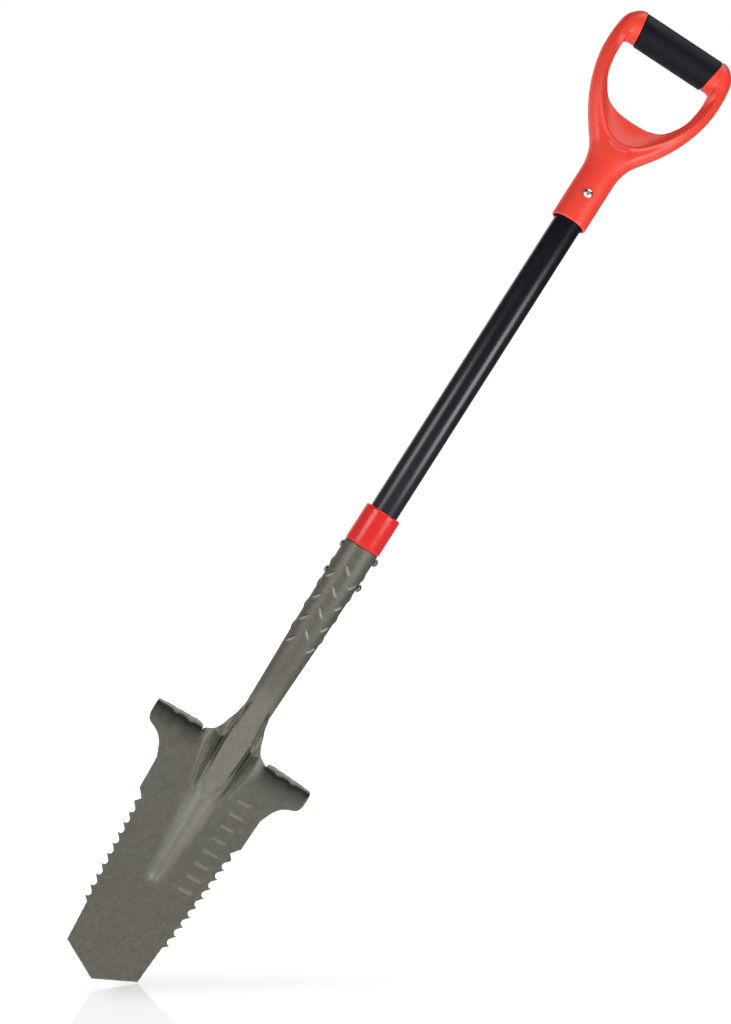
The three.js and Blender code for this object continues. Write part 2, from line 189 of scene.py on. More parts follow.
def mesh_of_field(name, field, to_row, adaptivity=0.0, painted_shading=None):
    """The zero surface of a field. to_row is a 3x3 turn and an offset into the row frame.

    The last argument gives each vertex painted shading: 1 where shade is painted dark, -1 where a highlight
    is painted bright.
    """
    band = 3.0 * field.step
    grid = openvdb.FloatGrid(band)
    grid.copyFromArray(np.clip(field.values, -band, band))
    points, triangles, quads = grid.convertToPolygons(0.0, adaptivity)
    at = points.astype(float)
    slope = np.zeros_like(at)  # the field rises outwards, so its slope is the normal
    for axis in range(3):
        reach = np.zeros(3)
        reach[axis] = 0.7
        slope[:, axis] = field.sample(at + reach) - field.sample(at - reach)
    slope /= np.maximum(np.linalg.norm(slope, axis=1, keepdims=True), 1e-9)
    turn, offset = to_row
    inside = at * field.step + field.low
    world, normals = inside @ turn.T + offset, slope @ turn.T
    faces = triangles.tolist() + quads.tolist()
    corners = quads[:, :3]
    a, b, c = (world[corners[:, i]] for i in range(3))
    # The faces are turned over if they point against the field's outward slope
    facing = np.einsum("ij,ij->i", np.cross(b - a, c - a), normals[corners[:, 0]]).sum()
    if facing < 0:
        faces = [face[::-1] for face in faces]
    made = mesh_from(name, world, faces, normals)
    # Painted shade and highlights are stored on the points as a mesh attribute
    if painted_shading is not None:
        values = painted_shading(*inside.T).astype(np.float32)
        made.data.attributes.new("painted_shading", "FLOAT", "POINT").data.foreach_set("value", values)
    return made


def ring_faces(count, rows):
    """Quads that join closed rings of points, each to the next and the last to the first."""
    for i in range(count):
        for j in range(rows):
            a, b = i * rows + j, i * rows + (j + 1) % rows
            c, d = ((i + 1) % count) * rows + (j + 1) % rows, ((i + 1) % count) * rows + j
            yield a, b, c, d


def lathe(name, profile, place=None, count=128):
    """A body of revolution round Z from a closed profile of (radius, height)."""
    turns = np.linspace(0, 2 * math.pi, count, endpoint=False)
    radius, height = np.array(profile, float).T
    x = np.outer(np.cos(turns), radius)
    y = np.outer(np.sin(turns), radius)
    points = np.stack([x, y, np.broadcast_to(height, x.shape)], axis=-1).reshape(-1, 3)
    faces = [(a, d, c, b) for a, b, c, d in ring_faces(count, len(profile))]
    made = mesh_from(name, points, faces)
    if place is not None:
        made.data.transform(place)
    made.data.transform(Matrix.Translation((0, 0, -GRIP_Z * 0.001)))
    weld(made)
    return made


def weld(made):
    """Joins the points on a lathe's axis and keeps only its rounded edges smooth."""
    bm = bmesh.new()
    bm.from_mesh(made.data)
    bmesh.ops.remove_doubles(bm, verts=bm.verts, dist=1e-6)
    bmesh.ops.recalc_face_normals(bm, faces=bm.faces)
    bm.to_mesh(made.data)
    bm.free()
    made.data.set_sharp_from_angle(angle=math.radians(40))


def arc(centre, radius, start, end, count=8):
    """Points of a circle's arc, in degrees."""
    turns = np.radians(np.linspace(start, end, count))
    return [(centre[0] + radius * math.cos(t), centre[1] + radius * math.sin(t)) for t in turns]


# ---- Blade and socket ---------------------------------------------------------------------------


def blade_outline():
    """The flat outline of the blade, from the web beside the socket round the tip and back."""
    web = [(12, -6), (13.9, -0.8), (16.6, 3.2), (18.8, 7.2), (20.4, 12), (22.6, 17.0), (25.6, 21.6)]
    web += [(28.8, 23.8), (31.4, 25), (STEP_INNER_X, 27)]
    heel = [(STEP_OUTER_X, 30), (84.7, 38), (84, 42.1), (82.1, 46.2), (79, 48.4), (75, 50), (70.2, 52.4)]
    heel += [(66, 56), (62.6, 60.6), (60, 66), (58.1, 70.5), (57, 75.1), (55.5, 104)]
    right = spline(web) + spline(heel) + [(TOOTH_FIRST[0] - TOOTH_DEPTH, TOOTH_FIRST[1] - 5.2)]
    pitch = (TOOTH_LAST[1] - TOOTH_FIRST[1]) / (TOOTH_COUNT - 1)
    inset = (TOOTH_FIRST[0] - TOOTH_LAST[0]) / (TOOTH_COUNT - 1)
    gullet = 0.3 * pitch
    for i in range(TOOTH_COUNT):
        x, u = TOOTH_FIRST[0] - i * inset, TOOTH_FIRST[1] + i * pitch
        if i:
            centre = (x - TOOTH_DEPTH + gullet, gullet - u)
            right += [(px, -pu) for px, pu in arc(centre, gullet, 140, 250, 9)]
        right.append((x, u))
    right += [(TOOTH_LAST[0] - TOOTH_DEPTH - 0.7, TOOTH_LAST[1] + 4.8), TIP_CORNER]
    return [*right, (0.0, TIP_U), *[(-x, u) for x, u in reversed(right)]]


def rib_back(x, u):
    """The back of the sheet: a round-crested rib between flanks that rise from straight fold lines."""
    across = np.abs(x)
    half = merge(0.19 * (187 - u), 28.8 * (u + 34) / 58, 4)
    flank = 0.75 * (half - across)
    end = np.sqrt(np.clip(1 - (np.clip(u - RIB_ROUND_U, 0, RIB_ROUND) / RIB_ROUND) ** 2, 0, 1))
    crest = np.interp(u, [-40, 120, 160], [13.5, 4.9, 3.4]) * end
    top = crest + np.sqrt(np.clip(17.0**2 - x * x, 0, None)) - 17.0 - 1.5 * np.clip(across - 16.9, 0, None)
    return SHEET + common(np.zeros_like(x), merge(flank, top, 2.0), 1.2)


def channel_edge(u):
    """Half the distance between the outer edges of the two channels."""
    return np.interp(u, [20, 24, 36, 50, 65, 76.5, 86, 95], [25.0, 24.6, 23.6, 20.6, 17.3, 14.2, 11.2, 8.0])


def groove_front(x, u, back):
    """The front of the sheet: a round-ended groove, and beside the socket two V-shaped channels."""
    across = np.abs(x)
    half = np.interp(u, [80, 116, 140, 163], [20.0, 15.5, 12.5, 10.5])
    reach = np.hypot(x, np.clip(u - GROOVE_END_U, 0, None)) / half
    depth = np.interp(u, [60, 85, 116, 150, 165], [8.0, 6.4, 4.5, 3.0, 2.5])
    groove = depth * (0.5 + 0.5 * np.cos(math.pi * np.clip(reach, 0, 1)))
    inner = channel_edge(u)
    swell = 0.6 * ease(u, 20, 36) * (1 - ease(u, 62, 96))
    shoulder = -swell * np.sin(math.pi * np.clip(1 - (across - inner) / 5.6, 0, 0.6))
    slope = np.interp(u, [24, 60, 80], [0.3, 0.6, 1.1])
    channel = common(shoulder, slope * (inner - across) - swell, 1.0)
    blend = ease(u, 64, 88)
    front = channel * (1 - blend) + groove * blend
    return merge(front, back - 1.3, 0.8)


def blade_surfaces(x, u):
    """Front and back of the sheet as heights w over (x, u)."""
    across = np.abs(x)
    back = rib_back(x, u)
    edge = 24.5 - 4.5 * np.clip((across - 18.5) / 6, -1.2, 1.2) ** 2
    start = np.maximum(ease(u, edge - 1.5, edge + 2.5), 1 - ease(across, 10.5, 12.5))
    front = groove_front(x, u, back) * start
    return front, back


def bow(x, u):
    """How far the sheet leans back as it nears a foot step."""
    return 0.3 * np.clip(56 - u, 0, 30) ** 2 / 60 * ease(np.abs(x), 22, 38)


def scale_bars(x, u):
    """A plain row of pressed bars down the right half of the blade."""
    relief = np.zeros_like(x)
    for i in range(SCALE_BARS):
        along = SCALE_FIRST_U + SCALE_PITCH * i
        outer = SCALE_X - SCALE_TAPER * (along - SCALE_FIRST_U)
        dx = np.abs(x - (outer - SCALE_HALF)) - SCALE_HALF + 0.6
        du = np.abs(u - along + 0.06 * (x - outer))
        away = np.hypot(np.clip(dx, 0, None), du)
        relief = np.maximum(relief, 1 - ease(away, 0.35, 1.25))
    return relief


def socket_radius(z):
    """The socket's outer radius at a height."""
    return np.interp(z, SOCKET_Z, SOCKET_R)


def gussets(across):
    """Two rounded gussets along each step, 0 to 1."""
    return sum(np.cos(np.clip((across - x) / GUSSET_HALF, -1, 1) * math.pi / 2) ** 2 for x in GUSSET_X)


def foot_step(x, u, w, bowed):
    """The bent sheet of a step, with two gussets pressed into the bend and a wavy tread.

    It returns the distance and the u at which the bend starts.
    """
    depth = w - STEP_DEPTH
    inner_x = STEP_INNER_X + 0.2 * np.clip(w - 2, 0, None)
    w = w - bowed
    across = np.abs(x)
    droop = STEP_DROOP * (across - (STEP_OUTER_X + STEP_INNER_X) / 2)
    u = u - droop
    grown = GUSSET_RISE * gussets(across)
    bend = STEP_BEND + grown
    cos_tilt, sin_tilt = math.cos(STEP_TILT), math.sin(STEP_TILT)
    centre_u = STEP_TOP_U + 4.5 + grown * (1 - sin_tilt) / cos_tilt
    centre_w = SHEET / 2 + bend
    along = (w - centre_w) * cos_tilt - (u - centre_u) * sin_tilt
    off = -(u - centre_u) * cos_tilt - (w - centre_w) * sin_tilt - bend
    reach = ease(across, 38, 44) * (1 - ease(across, 74, 80))
    wave = 1.3 * np.cos((across - GUSSET_X[0]) * 2 * math.pi / (GUSSET_X[1] - GUSSET_X[0]))
    for line in TREAD_LINES_W:
        off = off - 0.6 * np.exp(-(((w - line - wave) / 0.8) ** 2)) * reach
    corner = np.abs(np.hypot(u - centre_u, w - centre_w) - bend)
    leg = np.where(u >= centre_u, np.abs(w - SHEET / 2), corner)
    middle = np.where((along >= 0) & (off > -bend), np.abs(off), leg)
    ends = common_round(np.maximum(inner_x - across, across - STEP_OUTER_X), depth, 1.6)
    ends = np.maximum(ends, u - centre_u - 4)
    return common_round(middle - SHEET / 2, ends, 0.45), centre_u + droop


def socket_tube(x, u, w):
    """The socket's outside and its position: the distance, y, and the height h over the bend.

    The front flattens towards the blade, with a crease on each side.
    """
    y = w * COS_LEAN - u * SIN_LEAN
    h = -u * COS_LEAN - w * SIN_LEAN
    radius = socket_radius(BEND_Z + h).astype(np.float32)
    flat = ease(-h, -24, 20)
    power = 2 + (1.6 * flat + 2.4 * ease(-h, 4, 26)) * ease(-y / radius, 0.0, 0.5)
    front = 1 - 0.07 * flat * (y < 0)
    around = (np.abs(x) / radius) ** power + (np.abs(y) / (radius * front)) ** power
    wall = radius * (around ** (1 / power) - 1)
    crease_x = 10.7 + np.clip(14 - h, -6, 40) * 0.06
    depth = 1.9 * ease(-h, -26, -14) * (1 - ease(-h, 14, 24)) * (y < 0)
    return wall + depth * np.exp(-(((np.abs(x) - crease_x) / 0.9) ** 2)), y, h


def steepness(height, step):
    """How much longer a height field is than the flat under it."""
    du, dx = np.gradient(height, step, axis=1), np.gradient(height, step, axis=0)
    return np.sqrt(1 + dx * dx + du * du)


def blade_sheet(x, u, w, step):
    """The pressed sheet with its steps, and the distance behind its back."""
    flat_x, flat_u = np.broadcast_arrays(x[:, :, 0], u[:, :, 0])
    outline = polygon_distance(flat_x, flat_u, blade_outline())
    front, back = blade_surfaces(flat_x, flat_u)
    shift = scale_bars(flat_x, flat_u) + bow(flat_x, flat_u)
    front, back = front + shift, back + shift
    step_field, fold_u = foot_step(x, u, w, bow(x, u))
    fold_u = np.broadcast_to(fold_u[:, :, 0], flat_x.shape)
    in_step = (np.abs(flat_x) > STEP_INNER_X) & (np.abs(flat_x) < STEP_OUTER_X + 1)
    outline = np.where(in_step, np.maximum(outline, fold_u - flat_u), outline)[..., None]
    steep_front, steep_back = steepness(front, step)[..., None], steepness(back, step)[..., None]
    front, back = front[..., None], back[..., None]
    behind = (w - back) / steep_back
    sheet = common_round(np.maximum((front - w) / steep_front, behind), outline, 0.4)
    ground = (w - back) * 0.86 + 0.52 * (outline + 3.2)
    sheet = np.maximum(sheet, np.where(u > BEVEL_FROM_U, ground, -9))
    return np.minimum(sheet, step_field), behind


def add_treads(wall, x, y, z, u_axis):
    """Raises slanted, slightly curved bars on the socket, in columns that lean by turns."""
    turn = np.arctan2(x, -y)
    for column in range(TREAD_COLUMNS):
        sign = -1 if column % 2 == 0 else 1
        middle = (column + 0.5) * 2 * math.pi / TREAD_COLUMNS - math.pi / TREAD_COLUMNS
        for row in range(TREAD_ROWS):
            centre = TREAD_TOP_Z - (row + (0.5 if column % 2 else 0)) * TREAD_PITCH
            middle_u = -(centre - BEND_Z) * COS_LEAN
            rows = slice(*np.searchsorted(u_axis, (middle_u - 12, middle_u + 12)))
            around = (turn[:, rows] - middle + math.pi) % (2 * math.pi) - math.pi
            across = around * socket_radius(centre)
            up = z[:, rows] - centre
            lean = sign * TREAD_TILT
            along = across * math.sin(lean) + up * math.cos(lean)
            curve = 0.018 * (30 - along * along) * sign
            aside = across * math.cos(lean) - up * math.sin(lean) - curve
            bump = np.clip(1 - (along / TREAD_HALF_LENGTH) ** 2, 0, 1) ** 0.6
            bump = bump * np.exp(-((aside / 0.95) ** 2))
            wall[:, rows] -= TREAD_PROUD * bump


def painted_coat_shading(x, u, w):
    """Painted shading on the coat: painted shade beside the socket, under the step bends and over the
    treaded socket; painted highlights down the groove, on the tread crests, which also stand for rubbed
    paint, on the scale bars and along the foot steps.
    """
    across = np.abs(x)
    front = 1 - ease(w, 9, 12)
    face = ease(bow(x, u) + 3.2 - w, 0, 2)  # the sheet's own front, not a step's
    # Painted shade in the channels beside the socket
    inside = ease(channel_edge(u) + 0.6 - across, 0, 1.4) * ease(across, 12.5, 15.5)
    beside = 0.6 * inside * ease(u, 22.5, 25) * (1 - ease(u, 76, 86))
    # Painted shade on the front of the sheet just under each step's bend
    past = u - STEP_TOP_U - 1.6 * gussets(across)
    below = 0.65 * np.exp(-np.clip(past - 4, 0, None) / 6) + 0.35 * (1 - ease(past, 8, 26))
    below = below * ease(across, 26, 36) * face * ease(past, 0.6, 2.2)
    # Painted shade over the treaded part of the socket
    treads = 0.34 * (1 - ease(u, -52, -12))
    painted_dark = np.maximum(np.maximum(beside, below) * front, treads)

    # Painted highlights: down the groove, on the tread crests (standing also for rubbed paint), on the
    # scale bars and on the foot steps above their bend
    groove = np.exp(-((across / (8.6 - 0.03 * (u - 90))) ** 2)) * ease(u, 62, 84) * (1 - ease(u, 166, 176))
    radius = socket_radius(BEND_Z - u * COS_LEAN - w * SIN_LEAN)
    proud = np.hypot(x, w * COS_LEAN - u * SIN_LEAN) - radius
    bars = 1.2 * ease(proud, 0.3, 0.8) * (1 - ease(u, -50, -40))
    scale = 0.9 * ease(scale_bars(x, u), 0.15, 0.7) * face
    steps = 0.8 * (1 - ease(past, -0.4, 0.6)) * ease(across, 34, 36)
    return painted_dark - groove * front - bars - scale - steps


def blade_and_socket():
    """Blade, steps and socket as one steel piece, with a fillet where the socket runs in."""
    field = Field((-87.5, -196.0, -62.0), (87.5, 271.0, 26.0), 0.55 * COARSE, fill=14.0)
    part = field.part((-87.5, 87.5), (-30, 271), (-24, 26))
    x, u, w = field.coordinates(part)
    sheet, behind = blade_sheet(x, u, w, field.step)
    field.values[part] = sheet
    middle = slice(*np.searchsorted(field.axes[0][part[0]], (-28, 28)))
    wall, _, h = socket_tube(x[middle], u, w)
    wall = common(wall, np.minimum(-h, behind[middle]), 3.0)
    fillet = 8.5 - 5.5 * ease(u, 16, 27) + 3.0 * ease(u, 60, 80)
    field.values[part][middle] = merge(sheet[middle], wall, fillet)

    part = field.part((-21, 21), (-196, -28), (-62, 24))
    x, u, w = field.coordinates(part)
    wall, y, h = socket_tube(x, u, w)
    z = BEND_Z + h
    add_treads(wall, x, y, z, field.axes[1][part[1]])
    wall = common_round(wall, z - SOCKET_TOP_Z, 0.5)
    bore = np.hypot(x, y) - (socket_radius(z) - SOCKET_WALL)
    wall = np.maximum(wall, -np.maximum(bore, SOCKET_FLOOR_Z - z))
    field.values[part] = np.minimum(field.values[part], wall)

    turn = np.array([[1, 0, 0], [0, -SIN_LEAN, COS_LEAN], [0, -COS_LEAN, -SIN_LEAN]])
    offset = np.array([0, 0, BEND_Z - GRIP_Z])
    return mesh_of_field("blade_and_socket_steel", field, (turn, offset), 0.02, painted_coat_shading)


# ---- D handle -----------------------------------------------------------------------------------


def grip_half(z):
    """Where the hand grip's slanted end lies at a height."""
    return GRIP_BOTTOM_HALF + (GRIP_TOP_HALF - GRIP_BOTTOM_HALF) * (z - GRIP_Z + GRIP_R) / (2 * GRIP_R)


def mirrored(half, start=0):
    """A closed outline from its right half, whose first start points lie on the axis."""
    return half + [(-x, z) for x, z in reversed(half[start:])]


def handle_outlines(x, z):
    """Distances to the handle's outline and to that of its hand opening."""
    outer = [(13.5, 850), (15.8, 870), (17.4, 879), (19.8, 888), (24.1, 897), (31.4, 907), (41.6, 921.7)]
    outer += [(50.3, 937.7), (56.1, 952.2), (60.5, 968.2), (62.4, 984), (62, 1001.6), (59, 1013.0)]
    outer += [(53.5, 1020.0), (48.6, 1024.0), (42.5, 1025.9), (30, 1026.2)]
    inner = [(0, 932.8), (9, 933.1), (18.3, 934.4), (30, 939.5), (39.2, 950.8), (44.6, 962.4), (46.8, 973)]
    inner += [(47.7, 981), (48.1, 989), (47.9, 997), (46.6, 1005), (43, 1012), (30, 1016)]
    silhouette = polygon_distance(x, z, mirrored([(13.0, 800.0), *spline(outer)]))
    return silhouette, polygon_distance(x, z, mirrored(spline(inner), 1))


def d_handle():
    """Neck, limbs and the bar inside the grip as one moulding, bored for the shaft."""
    field = Field((-66.0, -19.6, 819.0), (66.0, 19.6, 1030.0), 0.6 * COARSE)
    x, y, z = field.coordinates()
    silhouette, opening = handle_outlines(*np.broadcast_arrays(x[:, 0, :], z[:, 0, :]))
    silhouette, opening = silhouette[:, None, :], opening[:, None, :]
    across, deep = np.abs(x), np.abs(y)

    # Limbs: a full round outside, a hollow that falls to a thin lip round the opening, a crest between
    half_round, half_depth = 8.8, 13.3
    a = np.clip(half_round + silhouette, 0, None)
    k0 = np.hypot(a / half_round, deep / half_depth)
    k1 = np.hypot(a / half_round**2, deep / half_depth**2)
    limbs = k0 * (k0 - 1) / np.maximum(k1, 1e-6)
    angle = np.degrees(np.arctan2(across, 960 - z))
    width = 6.8 + 20.2 * np.exp(-((angle / 38) ** 2))
    lip = 5.0 + 11.5 * ease(z, 980, 1000)
    hollow_height = lip + (half_depth - np.minimum(lip, 13.2)) * (np.clip(opening, 0, 60) / width) ** 1.7
    hollow = (deep - hollow_height) * 0.72
    neck_r = np.interp(z, [800, 880, 900, 914, 930], [NECK_R, NECK_R, 16.6, 14.6, 9.0]).astype(np.float32)
    neck = np.maximum(np.hypot(x, y) - neck_r, (z - 926))
    body = merge(limbs, neck, 0.5 + 6.5 * ease(z, 868, 898))
    body = common_round(common(body, hollow, 0.9), -opening, 2.0)
    fade = ease(deep, 4, 9) * (1 - ease(z, 988, 1002))
    crest = np.exp(-(((opening - width + 0.3) / 1.2) ** 2))
    crest = crest - 0.5 * np.exp(-(((opening - width - 3.4) / 2.0) ** 2))
    body = body - 0.9 * crest * fade
    cap = np.hypot(np.clip(across - 44, 0, None), np.hypot(y, z - GRIP_Z)) - CAP_R
    cap = common(np.maximum(cap, 30 - across), silhouette, 1.5)
    body = merge(body, cap, 5.0)

    # The cut for the hand grip, the bar inside it, the bore and its mouth
    body = common_round(body, grip_half(z) + GAP - across + np.where(z < 994, -99, 0), 0.5)
    bar = np.maximum(np.hypot(y, z - GRIP_Z) - CORE_R, across - 46)
    body = np.minimum(body, bar)
    body = common_round(body, NECK_Z - z, 1.2)
    bore_r = np.interp(z, [822.4, 827.4], [SHAFT_R + 1.6, SHAFT_R + GAP]).astype(np.float32)
    bore = np.hypot(x, y) - bore_r
    body = common_round(body, -np.maximum(bore, z - SHAFT_END_Z - 1), 0.4)
    hole = np.hypot(x, z - SCREW_Z) - 2.3
    body = np.maximum(body, -np.maximum(hole, y))
    field.values = body.astype(np.float32)
    return mesh_of_field("d_handle_moulding", field, UPRIGHT, 0.02)


def grip_sleeve():
    """The rubber tube round the bar, with rounded rims and ends cut at the limbs' slant."""
    count, length = 192, GRIP_BOTTOM_HALF + 2.5
    rim = [(0, CORE_R + GAP), (0, 14.5), (0.08, 15.0), (0.3, 15.45), (0.75, 15.8), (1.4, GRIP_R)]
    half = rim + [(s, GRIP_R) for s in np.linspace(4, length, 8)]
    profile = [(-1, s, r) for s, r in half] + [(1, s, r) for s, r in half[-2::-1]]
    points = []
    for i in range(count):
        t = 2 * math.pi * i / count
        for end, s, r in profile:
            up = r * math.sin(t)
            points.append((end * grip_half(GRIP_Z + up) * (1 - s / length), r * math.cos(t), up))
    made = mesh_from("grip_sleeve_rubber", points, list(ring_faces(count, len(profile))))
    made.data.set_sharp_from_angle(angle=math.radians(40))
    return made


def screw():
    """A domed head with a cross recess, and a pointed shank in the neck and the upper plug."""
    top = NECK_R + GAP + SCREW_HEAD_RISE
    field = Field((-5.2, -top - 0.6, SCREW_Z - 5.2), (5.2, 0.6, SCREW_Z + 5.2), 0.16)
    x, y, z = field.coordinates()
    r = np.hypot(x, z - SCREW_Z)
    out = -y - (NECK_R + GAP)
    head = np.hypot(r / SCREW_HEAD_R, np.clip(out, 0, None) / SCREW_HEAD_RISE) - 1
    head = common_round(head * 2.9, -out, 0.3)
    shank = np.maximum(r - np.interp(-y, [1.1, 3.1], [0.2, 2.0]).astype(np.float32), out)
    shank = np.maximum(shank, 1.1 + y)
    solid = np.minimum(head, shank)
    taper = np.clip(out - 1.0, 0, 3)
    arm = 0.42 + 0.12 * taper
    reach = 1.15 + 0.75 * taper
    cx, cz = np.abs(x), np.abs(z - SCREW_Z)
    cross = np.minimum(np.maximum(cx - arm, cz - reach), np.maximum(cz - arm, cx - reach))
    cross = np.maximum(cross, 0.9 - out)
    field.values = common_round(solid, -cross, 0.12).astype(np.float32)
    return mesh_of_field("handle_screw_steel", field, UPRIGHT)


# ---- Materials ----------------------------------------------------------------------------------


def linear(r, g, b):
    """sRGB 0-255 to a linear colour."""
    parts = [c / 255 for c in (r, g, b)]
    return tuple(c / 12.92 if c < 0.04045 else ((c + 0.055) / 1.055) ** 2.4 for c in parts) + (1.0,)


class Nodes:
    """A small helper to lay out a material's node tree."""

    def __init__(self, name):
        self.material = bpy.data.materials.new(name)
        self.material.use_nodes = True
        self.tree = self.material.node_tree
        self.shader = self.tree.nodes["Principled BSDF"]
        self.position = self.add("ShaderNodeTexCoord").outputs["Object"]

    def add(self, kind, **settings):
        """A new node with its settings."""
        node = self.tree.nodes.new(kind)
        for key, value in settings.items():
            setattr(node, key, value)
        return node

    def link(self, source, target):
        """Feeds an input from a socket or a plain value."""
        if isinstance(source, (int, float, tuple)):
            target.default_value = source
        else:
            self.tree.links.new(source, target)

    def noise(self, scale, detail, roughness):
        """Noise, 0 to 1, with scale lumps to the metre."""
        node = self.add("ShaderNodeTexNoise")
        self.link(self.position, node.inputs["Vector"])
        node.inputs["Scale"].default_value = scale
        node.inputs["Detail"].default_value = detail
        node.inputs["Roughness"].default_value = roughness
        return node.outputs["Fac"]

    def cells(self, scale):
        """Voronoi noise: the distance to the nearest cell's centre."""
        node = self.add("ShaderNodeTexVoronoi")
        self.link(self.position, node.inputs["Vector"])
        node.inputs["Scale"].default_value = scale
        return node.outputs["Distance"]

    def math(self, operation, a, b=0.0):
        node = self.add("ShaderNodeMath", operation=operation)
        self.link(a, node.inputs[0])
        self.link(b, node.inputs[1])
        return node.outputs[0]

    def span(self, value, low, high, to_low=0.0, to_high=1.0):
        """Carries low..high to to_low..to_high, clamped."""
        node = self.add("ShaderNodeMapRange")
        self.link(value, node.inputs["Value"])
        for key, number in (("From Min", low), ("From Max", high), ("To Min", to_low), ("To Max", to_high)):
            node.inputs[key].default_value = number
        return node.outputs["Result"]

    def mix(self, factor, a, b):
        node = self.add("ShaderNodeMix", data_type="RGBA")
        self.link(factor, node.inputs["Factor"])
        self.link(a, node.inputs["A"])
        self.link(b, node.inputs["B"])
        return node.outputs["Result"]

    def bump(self, height, distance, strength):
        node = self.add("ShaderNodeBump")
        node.inputs["Distance"].default_value = distance
        node.inputs["Strength"].default_value = strength
        self.link(height, node.inputs["Height"])
        return node.outputs["Normal"]

    def set(self, **inputs):
        """Sets inputs of the shader, with _ for a space."""
        for key, value in inputs.items():
            self.link(value, self.shader.inputs[key.replace("_", " ")])


def hammered_coat():
    """Grey-olive metallic powder coat: fine grain, bright flakes, a mottled tone, and painted shade and
    painted highlights from a mesh attribute.
    """
    n = Nodes("blade_coat")
    grain = n.noise(1500, 2.0, 0.6)
    mottle = n.noise(190, 3.0, 0.6)
    drift = n.noise(22, 2.0, 0.5)
    base = n.mix(n.span(mottle, 0.3, 0.7), linear(120, 117, 105), linear(138, 135, 122))
    base = n.mix(n.span(drift, 0.35, 0.65, 0.0, 0.3), base, linear(126, 127, 112))
    base = n.mix(n.span(grain, 0.42, 0.66, 0.0, 0.55), base, linear(168, 166, 155))
    painted_shading = n.add("ShaderNodeAttribute", attribute_name="painted_shading").outputs["Fac"]
    # Painted shade: the coat darkened where the attribute is above 0
    base = n.mix(n.span(painted_shading, 0.0, 1.0, 0.0, 0.95), base, linear(31, 29, 24))
    # Painted highlight: the coat lightened where the attribute is below 0
    base = n.mix(n.span(painted_shading, -1.0, 0.0, 0.36, 0.0), base, linear(205, 203, 192))
    n.set(Base_Color=base, Metallic=0.85, Roughness=n.span(mottle, 0.3, 0.7, 0.46, 0.54))
    height = n.math("ADD", n.math("MULTIPLY", grain, 0.35), n.math("MULTIPLY", mottle, 0.65))
    n.set(Normal=n.bump(height, 0.00018, 0.55), Specular_IOR_Level=0.5)
    return n.material


def shaft_coat():
    """Black gloss paint with a little orange peel."""
    n = Nodes("shaft_coat")
    peel = n.noise(260, 2.0, 0.5)
    drift = n.noise(30, 3.0, 0.55)
    base = n.mix(n.span(drift, 0.3, 0.7), linear(11, 13, 21), linear(15, 17, 28))
    n.set(Base_Color=base, Roughness=n.span(drift, 0.3, 0.7, 0.25, 0.3), Normal=n.bump(peel, 0.00004, 0.25))
    n.set(Metallic=0.0, Specular_IOR_Level=0.55)
    return n.material


def red_plastic(name, low, high, roughness):
    """Injection-moulded red plastic with a faint satin grain."""
    n = Nodes(name)
    cloud = n.noise(35, 3.0, 0.55)
    fine = n.noise(2200, 2.0, 0.6)
    base = n.mix(n.span(cloud, 0.3, 0.7), linear(*low), linear(*high))
    n.set(Base_Color=base, Roughness=n.span(cloud, 0.3, 0.7, roughness - 0.03, roughness + 0.03))
    n.set(Normal=n.bump(fine, 0.00004, 0.35))
    n.set(Subsurface_Weight=0.08, Subsurface_Radius=(0.004, 0.0012, 0.0008), Subsurface_Scale=1.0)
    return n.material


def grip_rubber():
    """Dark navy soft rubber with a fine pebble grain."""
    n = Nodes("grip_rubber")
    pebble = n.cells(1300)
    cloud = n.noise(40, 3.0, 0.6)
    base = n.mix(n.span(cloud, 0.3, 0.7), linear(7, 8, 17), linear(10, 11, 23))
    n.set(Base_Color=base, Roughness=n.span(cloud, 0.3, 0.7, 0.5, 0.6), Normal=n.bump(pebble, 0.00008, 0.4))
    n.set(Specular_IOR_Level=0.2)
    return n.material


def bright_steel(name, low, high):
    """Zinc-plated steel with faint turning marks and dulled patches."""
    n = Nodes(name)
    patch = n.noise(600, 3.0, 0.6)
    base = n.mix(n.span(patch, 0.3, 0.7), linear(*low), linear(*high))
    n.set(Base_Color=base, Roughness=n.span(patch, 0.3, 0.7, 0.16, 0.3), Normal=n.bump(patch, 0.00003, 0.3))
    n.set(Metallic=1.0)
    return n.material


def plug_plastic():
    """Grey filled plastic."""
    n = Nodes("plug_plastic")
    cloud = n.noise(150, 3.0, 0.6)
    base = n.mix(n.span(cloud, 0.3, 0.7), linear(78, 80, 82), linear(92, 95, 97))
    n.set(Base_Color=base, Roughness=n.span(cloud, 0.3, 0.7, 0.6, 0.75), Normal=n.bump(cloud, 0.0001, 0.4))
    return n.material


# ---- Pieces -------------------------------------------------------------------------------------

coat, paint, rubber, plug = hammered_coat(), shaft_coat(), grip_rubber(), plug_plastic()
screw_steel = bright_steel("bright_steel", (196, 196, 194), (226, 226, 226))
rivet_steel = bright_steel("rivet_steel", (98, 97, 93), (138, 137, 132))
handle_red = red_plastic("red_plastic_handle", (232, 62, 46), (238, 70, 52), 0.4)
collar_red = red_plastic("red_plastic_collar", (226, 34, 30), (232, 42, 36), 0.22)


def add_piece(made, node, material):
    """Puts a mesh in the place of its CAD node."""
    made.data.materials.clear()
    made.data.materials.append(material)
    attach(made, "root")
    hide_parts(node)


def tube_profile(inner, outer, low, high, edge):
    """Half the section of a tube whose outer edges are rounded."""
    profile = [(inner, low), *arc((outer - edge, low + edge), edge, -90, 0, 5)]
    return [*profile, *arc((outer - edge, high - edge), edge, 0, 90, 5), (inner, high)]


def along_x(z):
    """Turns a lathe's axis to the right at a height."""
    return Matrix.Translation((0, 0, z * 0.001)) @ Matrix.Rotation(math.pi / 2, 4, "Y")


